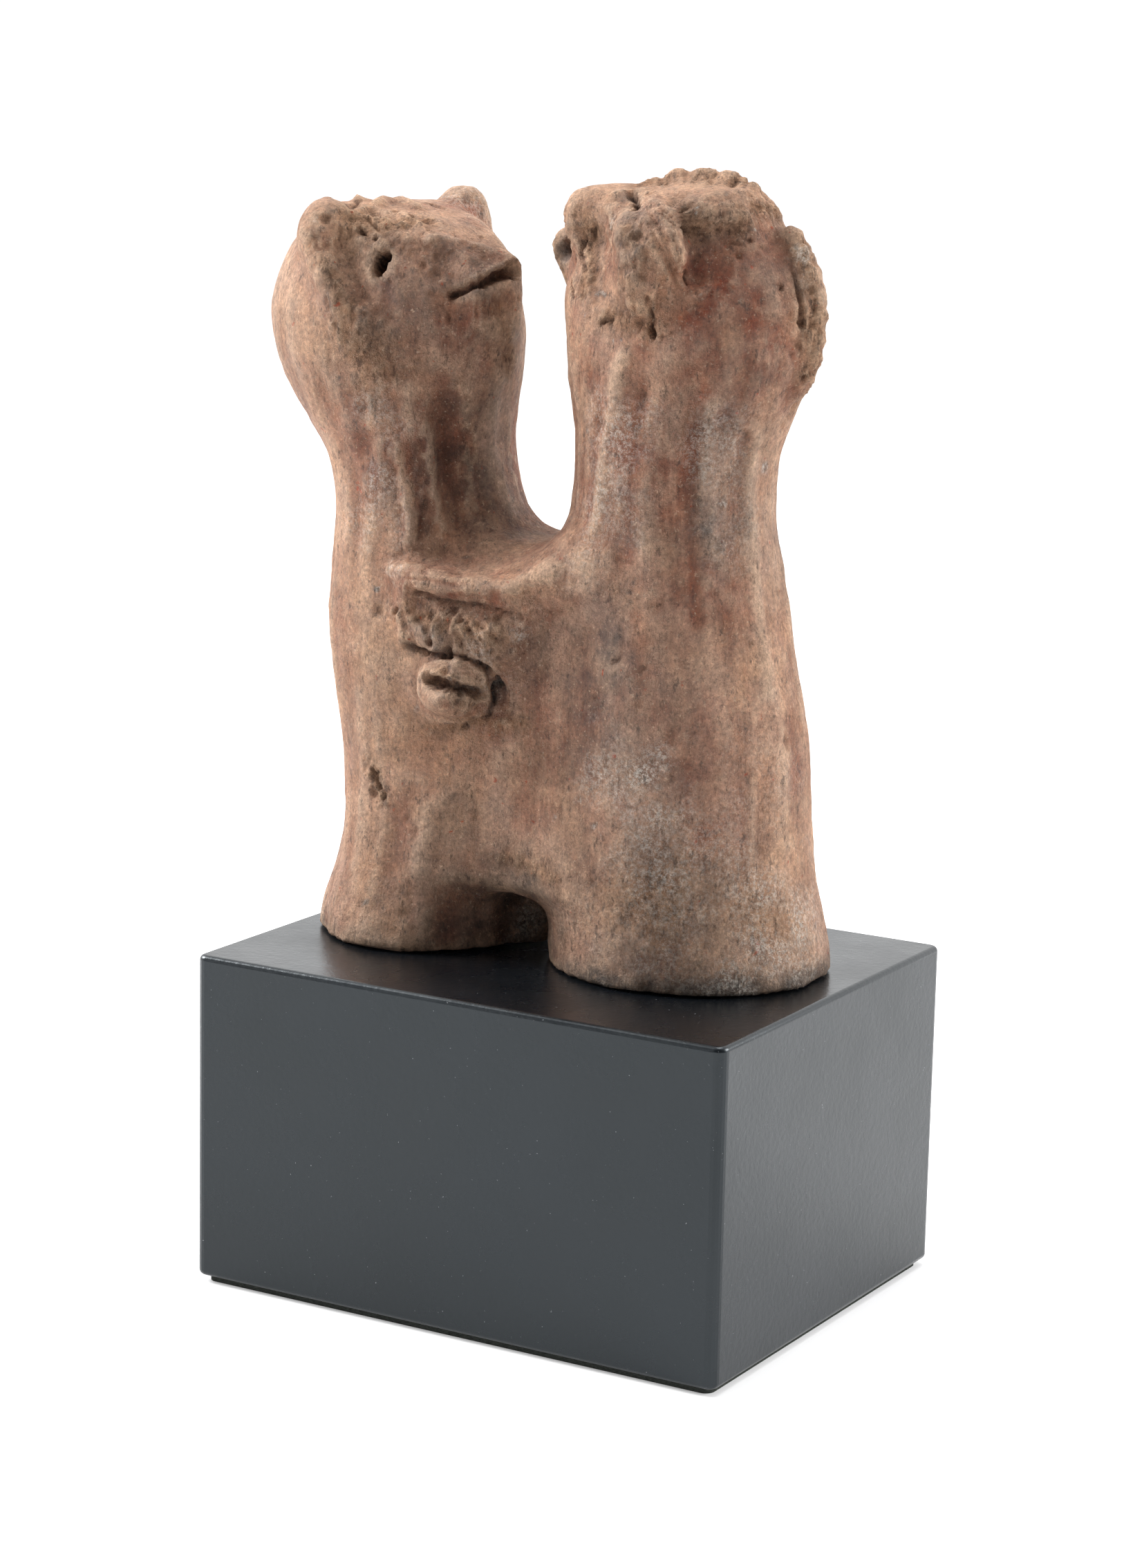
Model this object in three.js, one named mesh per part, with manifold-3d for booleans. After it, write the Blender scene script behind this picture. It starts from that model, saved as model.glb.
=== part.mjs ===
// Terracotta double figure: two standing bodies grown together, two animal heads face to face,
// on a painted wooden block with a felt pad. Millimetres, Z up, origin under the middle of the pad.
import * as THREE from "three";
import { mergeVertices } from "three/addons/utils/BufferGeometryUtils.js";
import Module from "manifold-3d";

const wasm = await Module();
wasm.setup();

// Driving sizes of the block and its pad
const blockLength = 88.9;
const blockDepth = 69.85;
const blockHeight = 49.8;
const blockEdge = 0.8;
const blockCorner = 1.6;
const padThickness = 0.7;
const padInset = 1.3;
const padCorner = 1.5;
const contactGap = 0.3;

// The figure is a free form: every form below is drawn for drawnHeight and grows with figureHeight.
const figureHeight = 116.8;
const drawnHeight = 116.8;
const share = figureHeight / drawnHeight;

const blockBase = padThickness + contactGap;
const figureBase = blockBase + blockHeight + contactGap;

const { clamp, lerp, smoothstep, degToRad } = THREE.MathUtils;

// Distance to a body that is smaller where two forms meet, so that the clay runs over the joint.
function blend(a, b, width) {
  const near = Math.max(width - Math.abs(a - b), 0) / width;
  return Math.min(a, b) - (near * near * width) / 4;
}

// Distance to the part of a body that is left after a softened cut.
const carve = (body, tool, width) => -blend(-body, tool, width);

function ellipsoid(x, y, z, centre, radii) {
  const dx = (x - centre[0]) / radii[0];
  const dy = (y - centre[1]) / radii[1];
  const dz = (z - centre[2]) / radii[2];
  const reach = Math.hypot(dx, dy, dz);
  const slope = Math.hypot(dx / radii[0], dy / radii[1], dz / radii[2]);
  return slope > 0 ? (reach * (reach - 1)) / slope : -Math.min(...radii);
}

// A box with round edges and corners.
function roundBox(x, y, z, centre, halves, rounding) {
  const dx = Math.abs(x - centre[0]) - halves[0] + rounding;
  const dy = Math.abs(y - centre[1]) - halves[1] + rounding;
  const dz = Math.abs(z - centre[2]) - halves[2] + rounding;
  const outside = Math.hypot(Math.max(dx, 0), Math.max(dy, 0), Math.max(dz, 0));
  return outside + Math.min(Math.max(dx, dy, dz), 0) - rounding;
}

// A rod with round ends that tapers from one radius to the other.
function rod(x, y, z, from, to, radiusFrom, radiusTo) {
  const along = from.map((value, axis) => to[axis] - value);
  const away = [x - from[0], y - from[1], z - from[2]];
  const lengthSquared = along[0] ** 2 + along[1] ** 2 + along[2] ** 2;
  const t = clamp((away[0] * along[0] + away[1] * along[1] + away[2] * along[2]) / lengthSquared, 0, 1);
  const gap = Math.hypot(away[0] - along[0] * t, away[1] - along[1] * t, away[2] - along[2] * t);
  return gap - lerp(radiusFrom, radiusTo, t);
}

// Values between the rows of a profile, [height, value, value ...], without a kink at any row.
function profileAt(rows, height) {
  const last = rows.length - 1;
  let i = 0;
  while (i < last - 1 && height > rows[i + 1][0]) i += 1;
  const below = rows[i];
  const above = rows[i + 1];
  const before = rows[Math.max(i - 1, 0)];
  const after = rows[Math.min(i + 2, last)];
  const span = above[0] - below[0];
  const t = clamp((height - below[0]) / span, 0, 1);
  return below.slice(1).map((value, column) => {
    const n = column + 1;
    const slopeBelow = ((above[n] - before[n]) / (above[0] - before[0])) * span;
    const slopeAbove = ((after[n] - below[n]) / (after[0] - below[0])) * span;
    const rise = above[n] - value;
    return value + t * (slopeBelow + t * (3 * rise - 2 * slopeBelow - slopeAbove
      + t * (slopeBelow + slopeAbove - 2 * rise)));
  });
}

// A standing body: an oval section at each height, closing softly at its last row inside the head.
const columnClosing = 8;

function column(x, y, z, rows) {
  const [centreX, centreY, halfX, halfY] = profileAt(rows, z);
  const dx = (x - centreX) / halfX;
  const dy = (y - centreY) / halfY;
  const reach = Math.hypot(dx, dy);
  const slope = Math.hypot(dx / halfX, dy / halfY);
  const oval = slope > 0 ? (reach * (reach - 1)) / slope : -Math.min(halfX, halfY);
  return carve(oval, rows[rows.length - 1][0] - z, columnClosing);
}

// Body profiles: [height, centre x, centre y, half-width along x, half-width along y]
const leftBody = [
  [0, -25, 0.6, 17.4, 18.4],
  [4, -24.9, 0.8, 17.1, 17.8],
  [14, -24, 0.2, 14.8, 15.2],
  [26, -24, 0.2, 14.8, 15],
  [46, -25.5, 0.2, 15.9, 15.6],
  [62, -26.3, 0.2, 14.7, 14.4],
  [74, -28, 0.2, 14, 13.8],
  [88, -30, 0.4, 13.4, 12.4],
];
const rightBody = [
  [0, 18.1, 3.2, 21.3, 20.3],
  [4, 18, 3.2, 20.9, 20],
  [16, 16.9, 2.4, 19.6, 18.8],
  [34, 16.5, 1.8, 18.8, 17.6],
  [52, 15.4, 1.4, 16.7, 16],
  [66, 14.6, 1, 14.8, 14.8],
  [76, 14.8, 1, 14.6, 14.2],
  [92, 15.6, 1, 14, 12.6],
];

// The web that joins the bodies, from the arch to the saddle: round over the top, tighter over the arch
const web = { x: -5, y: 0.6, halfX: 14, halfY: 13.4, saddle: 61.5, arch: 9.8, over: 8, under: 3 };

// How wide the clay runs over a joint: between the feet, between the bodies, and by the open necks
const footJoin = 3;
const bodyJoin = 7;
const neckJoin = 1;

// Arms lie over the web as ridges: upper arm and forearm in front, and one straight arm behind
const arms = [
  { start: [8, -9.5, 60], end: [-3, -12, 54.5], radii: [5.4, 3.4], join: 4 },
  { start: [-3, -12, 54.5], end: [-19.6, -15.4, 55.6], radii: [3.4, 2.8], join: 2.5 },
  { start: [4, 12, 55], end: [-20, 14.6, 52], radii: [3.6, 2.6], join: 4 },
];
const scar = { centre: [-11.6, -12.6, 49], radii: [11, 4.8, 7], join: 2.5 };
const button = { centre: [-12.6, -15.6, 40.8], radii: [5.4, 4.6, 4.9], join: 0.8 };

// Heads: the place of the skull's middle, and how far the face is turned from the long axis
const leftHead = { middle: [-33.4, 0.6, 92], turn: degToRad(-17) };
const rightHead = { middle: [17.2, 1, 94.5], turn: degToRad(180) };

// Forms of the heads, in each head's own directions: along the face, to its left, and up
const middle = [0, 0, 0];
const leftForms = {
  skull: [21, 16.8, 19.6],
  chin: { centre: [10.4, 0, -3], radii: [12.4, 11, 12.6], join: 4 },
  muzzle: {
    root: 6, middle: [10, 0, 11.4], halves: [14.2, 9.4, 5.6], edge: 2.2, closing: 0.25, fall: 0.4, join: 3,
  },
  crown: { height: 17.6, slant: 0.14, join: 2.5 },
  ears: [{ side: -1, out: 12.6, up: 13.8 }, { side: 1, out: 13.6, up: 15.4 }],
};

// An ear, from its own place: a knob, a ridge that runs down from it, and a hollow on the face's side
const ear = {
  knob: [4.5, 3.6, 4.6], knobJoin: 1.5,
  ridgeTop: [-0.8, 1.4, -2], ridgeFoot: [7, 3, -1.6], ridge: [3.4, 1.8], ridgeJoin: 2,
  hollowTop: [5.4, 3, 0], hollowFoot: [12.8, 3.8, 1], hollow: [3.2, 2], hollowJoin: 1.5,
};
const rightForms = {
  skull: [18.6, 14.6, 19.2],
  cap: { centre: [-4, 1.6, 15.4], radii: [8.6, 9.8, 4.8], join: 2 },
  brow: { centre: [8, 0, 14.6], halves: [9.6, 9.6, 4.4], edge: 3.2, join: 3 },
  cheeks: { centre: [10.6, 0, 3], radii: [8.4, 9.5, 11], join: 4 },
  stump: { start: [20.5, 1, 10.4], end: [15.6, 1, 0], radii: [3, 2.4], join: 1.5 },
  fan: { centre: [0.5, 11.6, 9.4], radii: [6.6, 4.6, 8.6], join: 1.5 },
  hollow: { centre: [-8.4, 14.4, 11], radii: [5.4, 4.8, 4.2], join: 2 },
};

// A point seen from a head: along the face, to the head's left, and up
function inHead(x, y, z, head) {
  const dx = x - head.middle[0];
  const dy = y - head.middle[1];
  const c = Math.cos(head.turn);
  const s = Math.sin(head.turn);
  return [dx * c + dy * s, dy * c - dx * s, z - head.middle[2]];
}

// Where a point of a head stands in the figure
function fromHead([along, side, up], head) {
  const c = Math.cos(head.turn);
  const s = Math.sin(head.turn);
  return [head.middle[0] + along * c - side * s, head.middle[1] + along * s + side * c, head.middle[2] + up];
}

// Left head: round skull, flat crown, blunt muzzle over a heavy chin, and two thick ears folded forward
function leftHeadField(x, y, z) {
  const [a, b, c] = inHead(x, y, z, leftHead);
  const { skull, chin, muzzle, crown, ears } = leftForms;
  let d = ellipsoid(a, b, c, middle, skull);
  d = blend(d, ellipsoid(a, b, c, chin.centre, chin.radii), chin.join);
  // The muzzle is a wedge: its top falls and its sides close in towards the nose.
  const halfWidth = muzzle.halves[1];
  const forward = a - muzzle.root;
  const wider = halfWidth / (halfWidth - muzzle.closing * clamp(forward, 0, 3 * halfWidth));
  const level = c + muzzle.fall * forward;
  d = blend(d, roundBox(a, b * wider, level, muzzle.middle, muzzle.halves, muzzle.edge), muzzle.join);
  d = carve(d, crown.height - c - crown.slant * Math.max(a, 0), crown.join);
  for (const { side, out, up } of ears) {
    const place = ([along, outwards, height]) => [along, side * (out + outwards), height];
    const raised = ([along, outwards, height]) => [along, side * (out + outwards), up + height];
    d = blend(d, ellipsoid(a, b, c, raised([ear.ridgeTop[0], 0, 0]), ear.knob), ear.knobJoin);
    d = blend(d, rod(a, b, c, raised(ear.ridgeTop), place(ear.ridgeFoot), ...ear.ridge), ear.ridgeJoin);
    d = carve(d, rod(a, b, c, raised(ear.hollowTop), place(ear.hollowFoot), ...ear.hollow), ear.hollowJoin);
  }
  return d;
}

// Right head: a cap over the back of the skull, an overhanging brow, a broken muzzle and fan-shaped ears
function rightHeadField(x, y, z) {
  const [a, b, c] = inHead(x, y, z, rightHead);
  const { skull, cap, brow, cheeks, stump, fan, hollow } = rightForms;
  let d = ellipsoid(a, b, c, middle, skull);
  d = carve(d, ellipsoid(a, Math.abs(b), c, hollow.centre, hollow.radii), hollow.join);
  d = blend(d, ellipsoid(a, b, c, cap.centre, cap.radii), cap.join);
  d = blend(d, roundBox(a, b, c, brow.centre, brow.halves, brow.edge), brow.join);
  d = blend(d, ellipsoid(a, b, c, cheeks.centre, cheeks.radii), cheeks.join);
  d = blend(d, rod(a, b, c, stump.start, stump.end, ...stump.radii), stump.join);
  return blend(d, ellipsoid(a, Math.abs(b), c, fan.centre, fan.radii), fan.join);
}

// The joined bodies with the arms that reach across, the scar of a lost part, and the button below it
function bodyField(x, y, z) {
  const halfZ = (web.saddle - web.arch) / 2;
  const centre = [web.x, web.y, web.arch + halfZ];
  const rounding = lerp(web.under, web.over, smoothstep(z, web.arch + 6, centre[2]));
  const slab = roundBox(x, y, z, centre, [web.halfX, web.halfY, halfZ], rounding);
  const aboveFeet = lerp(footJoin, bodyJoin, smoothstep(z, web.arch - 4, web.arch + 3));
  const width = lerp(aboveFeet, neckJoin, smoothstep(z, web.saddle + 9, web.saddle + 23));
  let d = blend(blend(column(x, y, z, leftBody), slab, width), column(x, y, z, rightBody), width);
  for (const { start, end, radii, join } of arms) d = blend(d, rod(x, y, z, start, end, ...radii), join);
  for (const { centre: place, radii, join } of [scar, button]) {
    d = blend(d, ellipsoid(x, y, z, place, radii), join);
  }
  return d;
}

// The clay is drawn a little past the feet, down to footTrim below them, and cut flat there.
const footTrim = 4;

// The heads grow out of the bodies, but stay apart where they face each other over the gap.
const headJoin = 7;
const headGap = { x: -7, reach: 8, fade: 6, join: 0.4 };

function figureField(x, y, z) {
  const inGap = smoothstep(headGap.reach - Math.abs(x - headGap.x), 0, headGap.fade);
  const width = lerp(headJoin, headGap.join, inGap);
  let d = bodyField(x, y, z);
  d = blend(d, leftHeadField(x, y, z), width);
  d = blend(d, rightHeadField(x, y, z), width);
  return Math.max(d, -footTrim - z);
}

// Grid lines that lie closer together where the step function asks for it
function gridLines(from, to, stepAt) {
  const lines = [from];
  while (lines[lines.length - 1] < to) lines.push(lines[lines.length - 1] + stepAt(lines[lines.length - 1]));
  return lines;
}

// Where the corners of a grid face are in and out by turns, two sheets of the surface would share an edge.
// The outer corner nearest to the clay is taken in there, until no such face is left.
function joinSheets(values, [nx, ny, nz], at) {
  const faces = [[[1, 0, 0], [0, 1, 0]], [[1, 0, 0], [0, 0, 1]], [[0, 1, 0], [0, 0, 1]]];
  const barelyInside = -1e-3;
  let found = true;
  while (found) {
    found = false;
    for (let n = 0; n < values.length; n += 1) {
      const [i, j, k] = [n % nx, Math.floor(n / nx) % ny, Math.floor(n / (nx * ny))];
      if (i > nx - 2 || j > ny - 2 || k > nz - 2) continue;
      for (const [u, v] of faces) {
        const ring = [
          n, at(i + u[0], j + u[1], k + u[2]),
          at(i + u[0] + v[0], j + u[1] + v[1], k + u[2] + v[2]), at(i + v[0], j + v[1], k + v[2]),
        ];
        const inside = ring.map((corner) => values[corner] < 0);
        if (inside[0] !== inside[2] || inside[1] !== inside[3] || inside[0] === inside[1]) continue;
        const outer = ring.filter((corner, turn) => !inside[turn]);
        values[values[outer[0]] < values[outer[1]] ? outer[0] : outer[1]] = barelyInside;
        found = true;
      }
    }
  }
}

// Closed surface where a field passes zero: one vertex in each grid cell that the surface crosses.
function surfaceOf(field, xs, ys, zs) {
  const [nx, ny, nz] = [xs.length, ys.length, zs.length];
  const at = (i, j, k) => (k * ny + j) * nx + i;
  const values = new Float64Array(nx * ny * nz);
  zs.forEach((z, k) => ys.forEach((y, j) => xs.forEach((x, i) => {
    values[at(i, j, k)] = field(x, y, z);
  })));
  joinSheets(values, [nx, ny, nz], at);
  const corners = [0, 1, 2, 3, 4, 5, 6, 7].map((n) => [n & 1, (n >> 1) & 1, (n >> 2) & 1]);
  const edges = [];
  for (let a = 0; a < 8; a += 1) {
    for (const bit of [1, 2, 4]) {
      if (!(a & bit)) edges.push([a, a | bit]);
    }
  }
  const cellVertex = new Map();
  const points = [];
  for (let k = 0; k < nz - 1; k += 1) {
    for (let j = 0; j < ny - 1; j += 1) {
      for (let i = 0; i < nx - 1; i += 1) {
        const found = corners.map(([a, b, c]) => values[at(i + a, j + b, k + c)]);
        const inside = found.filter((value) => value < 0).length;
        if (inside === 0 || inside === 8) continue;
        const place = corners.map(([a, b, c]) => [xs[i + a], ys[j + b], zs[k + c]]);
        const sum = [0, 0, 0];
        let crossings = 0;
        for (const [a, b] of edges) {
          if (found[a] < 0 === found[b] < 0) continue;
          const t = found[a] / (found[a] - found[b]);
          for (const axis of [0, 1, 2]) sum[axis] += lerp(place[a][axis], place[b][axis], t);
          crossings += 1;
        }
        cellVertex.set(at(i, j, k), points.length);
        points.push(sum.map((value) => value / crossings));
      }
    }
  }
  const index = [];
  const gap = (a, b) => Math.hypot(...points[a].map((value, axis) => value - points[b][axis]));
  // The four cells round a grid edge make two triangles, split along the shorter diagonal.
  const addQuad = (ring, outwards) => {
    const [a, b, c, d] = outwards ? ring : [...ring].reverse();
    if (gap(a, c) <= gap(b, d)) index.push(a, b, c, a, c, d);
    else index.push(a, b, d, b, c, d);
  };
  const cell = (i, j, k) => cellVertex.get(at(i, j, k));
  for (let k = 1; k < nz - 1; k += 1) {
    for (let j = 1; j < ny - 1; j += 1) {
      for (let i = 1; i < nx - 1; i += 1) {
        const here = values[at(i, j, k)] < 0;
        if (here !== values[at(i + 1, j, k)] < 0) {
          addQuad([cell(i, j - 1, k - 1), cell(i, j, k - 1), cell(i, j, k), cell(i, j - 1, k)], here);
        }
        if (here !== values[at(i, j + 1, k)] < 0) {
          addQuad([cell(i - 1, j, k - 1), cell(i - 1, j, k), cell(i, j, k), cell(i, j, k - 1)], here);
        }
        if (here !== values[at(i, j, k + 1)] < 0) {
          addQuad([cell(i - 1, j - 1, k), cell(i, j - 1, k), cell(i, j, k), cell(i - 1, j, k)], here);
        }
      }
    }
  }
  return { points, index };
}

// Moves each vertex of a surface along the field's slope until it lies on the surface.
function settle(points, field) {
  const probe = 0.05;
  return points.map(([x, y, z]) => {
    const here = field(x, y, z);
    const slope = [
      (field(x + probe, y, z) - here) / probe,
      (field(x, y + probe, z) - here) / probe,
      (field(x, y, z + probe) - here) / probe,
    ];
    const steep = Math.max(slope[0] ** 2 + slope[1] ** 2 + slope[2] ** 2, 0.2);
    const step = clamp(here / steep, -0.6, 0.6);
    return [x - slope[0] * step, y - slope[1] * step, z - slope[2] * step];
  });
}

function solidFrom(points, index) {
  return new wasm.Manifold(new wasm.Mesh({
    numProp: 3,
    vertProperties: new Float32Array(points.flat()),
    triVerts: new Uint32Array(index),
  }));
}

function solidOf(geometry) {
  const plain = geometry.index ? geometry.toNonIndexed() : geometry.clone();
  plain.deleteAttribute("normal");
  plain.deleteAttribute("uv");
  const merged = mergeVertices(plain, 1e-4);
  return new wasm.Manifold(new wasm.Mesh({
    numProp: 3,
    vertProperties: merged.attributes.position.array,
    triVerts: new Uint32Array(merged.index.array),
  }));
}

function geometryOf(solid) {
  const mesh = solid.getMesh();
  const geometry = new THREE.BufferGeometry();
  geometry.setAttribute("position", new THREE.BufferAttribute(new Float32Array(mesh.vertProperties), 3));
  geometry.setIndex(new THREE.BufferAttribute(new Uint32Array(mesh.triVerts), 1));
  return geometry;
}

// The clay's surface: finer at the heads and round the arm, coarser on the plain bodies
const detail = { sideways: 2.9, fine: 2.6, coarse: 3.6, arm: [34, 58], heads: 82 };
const isFine = (z) => z > detail.heads || (z > detail.arm[0] && z < detail.arm[1]);
const drawn = { left: -60, right: 46, front: -28, back: 32, top: 122 };
const clay = surfaceOf(
  figureField,
  gridLines(drawn.left, drawn.right, () => detail.sideways),
  gridLines(drawn.front, drawn.back, () => detail.sideways),
  gridLines(-2 * footTrim, drawn.top, (z) => (isFine(z) ? detail.fine : detail.coarse)),
);

// Crest of pinched clay along the middle of the right skull: its outline from one angle to another,
// with one bump for each pinch, made a band of the crest's width
const crest = { width: 3.2, sunk: 2.5, edge: 0.6, stepsPerPinch: 4 };
const crestBands = [
  { angles: [118, 57], pinches: 5, rises: [1.6, 3.12], bump: 0.8 },
  { angles: [44, -32], pinches: 9, rises: [2.2, 1.4], bump: 0.5 },
];

function crestBand({ angles, pinches, rises, bump }) {
  const steps = pinches * crest.stepsPerPinch;
  const [along, , up] = rightForms.skull;
  const edge = (riseAt) => Array.from({ length: steps + 1 }, (_, i) => {
    const angle = degToRad(lerp(...angles, i / steps));
    const rise = riseAt(i);
    return new THREE.Vector2(
      rightHead.middle[0] + (along + rise) * Math.cos(angle),
      rightHead.middle[2] + (up + rise) * Math.sin(angle),
    );
  });
  const inner = edge(() => -crest.sunk);
  const outer = edge((i) => {
    const ends = Math.min(1, (i + 1) / 3, (steps + 1 - i) / 5);
    return lerp(...rises, i / steps) * ends + bump * Math.abs(Math.sin((Math.PI * pinches * i) / steps));
  });
  const band = new THREE.ExtrudeGeometry(new THREE.Shape([...inner, ...outer.reverse()]), {
    depth: crest.width - 2 * crest.edge,
    bevelThickness: crest.edge,
    bevelSize: crest.edge,
    bevelOffset: -crest.edge,
    bevelSegments: 1,
  });
  band.rotateX(Math.PI / 2);
  band.translate(0, rightHead.middle[1] + crest.width / 2 - crest.edge, 0);
  return solidOf(band);
}

// The punched eyes of the left head, one on each cheek: [along, side, up] on the head's surface
const eye = { along: 10.4, side: 12, up: 9.4, halfLength: 1.8, halfWidth: 1.05, depth: 4, narrowing: 0.75 };
function eyeCutter(side) {
  const turned = new THREE.Matrix4().makeRotationZ(leftHead.turn);
  const inwards = new THREE.Vector3(-0.43, -side * 0.78, -0.45).applyMatrix4(turned).normalize();
  const lengthwise = new THREE.Vector3(0.12, -side * 0.54, 0.84).applyMatrix4(turned);
  lengthwise.projectOnPlane(inwards).normalize();
  const across = new THREE.Vector3().crossVectors(inwards, lengthwise);
  const cutter = new THREE.CylinderGeometry(1, eye.narrowing, 2 * eye.depth, 10);
  cutter.rotateX(-Math.PI / 2);
  cutter.scale(eye.halfLength, eye.halfWidth, 1);
  cutter.applyMatrix4(new THREE.Matrix4().makeBasis(lengthwise, across, inwards));
  cutter.translate(...fromHead([eye.along, side * eye.side, eye.up], leftHead));
  return solidOf(cutter);
}

// The mouth of the left head: a thin slit round the front of the muzzle, rising towards the nose
const mouth = {
  centre: 13.6, inner: [7.8, 4.4], outer: [15, 13], reach: degToRad(68),
  gap: 1.2, corner: [18.4, 0, 5], rise: degToRad(28),
};
function mouthCutter() {
  const outline = new THREE.Shape();
  outline.absellipse(mouth.centre, 0, ...mouth.outer, -mouth.reach, mouth.reach, false);
  outline.absellipse(mouth.centre, 0, ...mouth.inner, mouth.reach, -mouth.reach, true);
  const plate = new THREE.ExtrudeGeometry(outline, {
    depth: mouth.gap, bevelEnabled: false, curveSegments: 9,
  });
  plate.translate(-mouth.corner[0], 0, -mouth.gap / 2);
  plate.rotateY(-mouth.rise);
  plate.translate(...mouth.corner);
  plate.rotateZ(leftHead.turn);
  plate.translate(...leftHead.middle);
  return solidOf(plate);
}

// The slot across the button: a straight bar that reaches the slot's depth into its dome
const slot = { width: 1.7, depth: 2, tilt: degToRad(5), above: 0.3 };
function slotCutter() {
  const [x, y, z] = button.centre;
  const [halfLength, dome] = button.radii;
  const bar = new THREE.BoxGeometry(3 * halfLength, 2 * slot.depth, slot.width);
  bar.rotateY(slot.tilt);
  bar.translate(x, y - dome, z + slot.above);
  return solidOf(bar);
}

// Everything below the feet
function footCutter() {
  const below = new THREE.BoxGeometry(2 * figureHeight, 2 * figureHeight, 2 * footTrim);
  below.translate(0, 0, -footTrim);
  return solidOf(below);
}

let figureSolid = solidFrom(settle(clay.points, figureField), clay.index);
for (const band of crestBands) figureSolid = figureSolid.add(crestBand(band));
for (const cutter of [footCutter(), eyeCutter(-1), eyeCutter(1), mouthCutter(), slotCutter()]) {
  figureSolid = figureSolid.subtract(cutter);
}

// A rectangle with round corners, about the middle
function roundedOutline(length, depth, radius) {
  const outline = new THREE.Shape();
  for (const [x, y, turn] of [[1, -1, -90], [1, 1, 0], [-1, 1, 90], [-1, -1, 180]]) {
    outline.absarc(x * (length / 2 - radius), y * (depth / 2 - radius), radius,
      degToRad(turn), degToRad(turn + 90), false);
  }
  outline.closePath();
  return outline;
}

function blockGeometry() {
  const geometry = new THREE.ExtrudeGeometry(roundedOutline(blockLength, blockDepth, blockCorner), {
    depth: blockHeight - 2 * blockEdge,
    bevelThickness: blockEdge,
    bevelSize: blockEdge,
    bevelOffset: -blockEdge,
    bevelSegments: 2,
    curveSegments: 3,
  });
  return geometry.translate(0, 0, blockBase + blockEdge);
}

function padGeometry() {
  const outline = roundedOutline(blockLength - 2 * padInset, blockDepth - 2 * padInset, padCorner);
  return new THREE.ExtrudeGeometry(outline, { depth: padThickness, bevelEnabled: false, curveSegments: 4 });
}

const terracotta = new THREE.MeshStandardMaterial({ color: "#a0765f", roughness: 0.85, metalness: 0 });
const blackPaint = new THREE.MeshStandardMaterial({ color: "#26282b", roughness: 0.45, metalness: 0 });
const darkFelt = new THREE.MeshStandardMaterial({ color: "#2e302e", roughness: 1, metalness: 0 });

const object = new THREE.Group();
const addPiece = (name, geometry, material) => {
  const piece = new THREE.Mesh(geometry, material);
  piece.name = name;
  object.add(piece);
  return piece;
};

const figure = addPiece("double_figure", geometryOf(figureSolid), terracotta);
figure.geometry.scale(share, share, share);
figure.position.z = figureBase;
addPiece("plinth_block", blockGeometry(), blackPaint);
addPiece("felt_pad", padGeometry(), darkFelt);

export default object;
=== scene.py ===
# Terracotta double figure on a black painted block: clay surface, finishes, studio light and camera.
import math
import bmesh
import bpy
import numpy as np
from mathutils import Matrix, Vector
from mathutils.bvhtree import BVHTree
from mathutils.kdtree import KDTree


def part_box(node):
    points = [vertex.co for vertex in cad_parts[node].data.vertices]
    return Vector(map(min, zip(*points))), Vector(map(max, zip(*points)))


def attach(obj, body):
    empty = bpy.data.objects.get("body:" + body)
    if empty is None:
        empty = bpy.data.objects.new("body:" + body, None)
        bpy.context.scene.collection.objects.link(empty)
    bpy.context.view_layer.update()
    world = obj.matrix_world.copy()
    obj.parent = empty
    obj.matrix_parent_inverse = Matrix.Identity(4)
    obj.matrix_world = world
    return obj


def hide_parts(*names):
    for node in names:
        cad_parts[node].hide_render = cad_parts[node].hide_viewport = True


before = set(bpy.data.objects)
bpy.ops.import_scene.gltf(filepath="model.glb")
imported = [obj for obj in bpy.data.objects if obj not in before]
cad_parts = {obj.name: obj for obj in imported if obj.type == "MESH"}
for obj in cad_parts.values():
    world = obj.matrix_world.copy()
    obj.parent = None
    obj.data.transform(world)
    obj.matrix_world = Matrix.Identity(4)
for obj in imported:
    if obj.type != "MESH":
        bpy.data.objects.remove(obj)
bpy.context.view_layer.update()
scene = bpy.context.scene
mm = 0.001
print("frame loaded")


# camera: the photograph's own view, worked out from the edges of the block
view = {
    "place": (280.88, -483.46, 194.99),  # mm
    "azimuth": 30.383,  # degrees
    "elevation": 11.995,
    "roll": 1.218,
    "focalPixels": 5555.8,
    "width": 1626,
    "height": 2268,
    "sensor": 36.0,  # mm
    "distance": 587,  # mm from the camera to the figure
    "clip": (0.01, 200),  # m
}


def viewAxes():
    azimuth, elevation, roll = (math.radians(view[name]) for name in ("azimuth", "elevation", "roll"))
    flat = math.cos(elevation)
    back = Vector((math.sin(azimuth) * flat, -math.cos(azimuth) * flat, math.sin(elevation)))
    right = Vector((math.cos(azimuth), math.sin(azimuth), 0))
    up = back.cross(right)
    turnedRight = right * math.cos(roll) + up * math.sin(roll)
    turnedUp = up * math.cos(roll) - right * math.sin(roll)
    return turnedRight, turnedUp, back


def makeCamera():
    right, up, back = viewAxes()
    data = bpy.data.cameras.new("photographCamera")
    data.sensor_width = view["sensor"]
    data.lens = view["focalPixels"] / view["height"] * view["sensor"]
    data.clip_start, data.clip_end = view["clip"]
    camera = bpy.data.objects.new("photographCamera", data)
    turn = Matrix((right, up, back)).transposed().to_4x4()
    camera.matrix_world = Matrix.Translation(Vector(view["place"]) * mm) @ turn
    scene.collection.objects.link(camera)
    scene.camera = camera


makeCamera()


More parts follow.
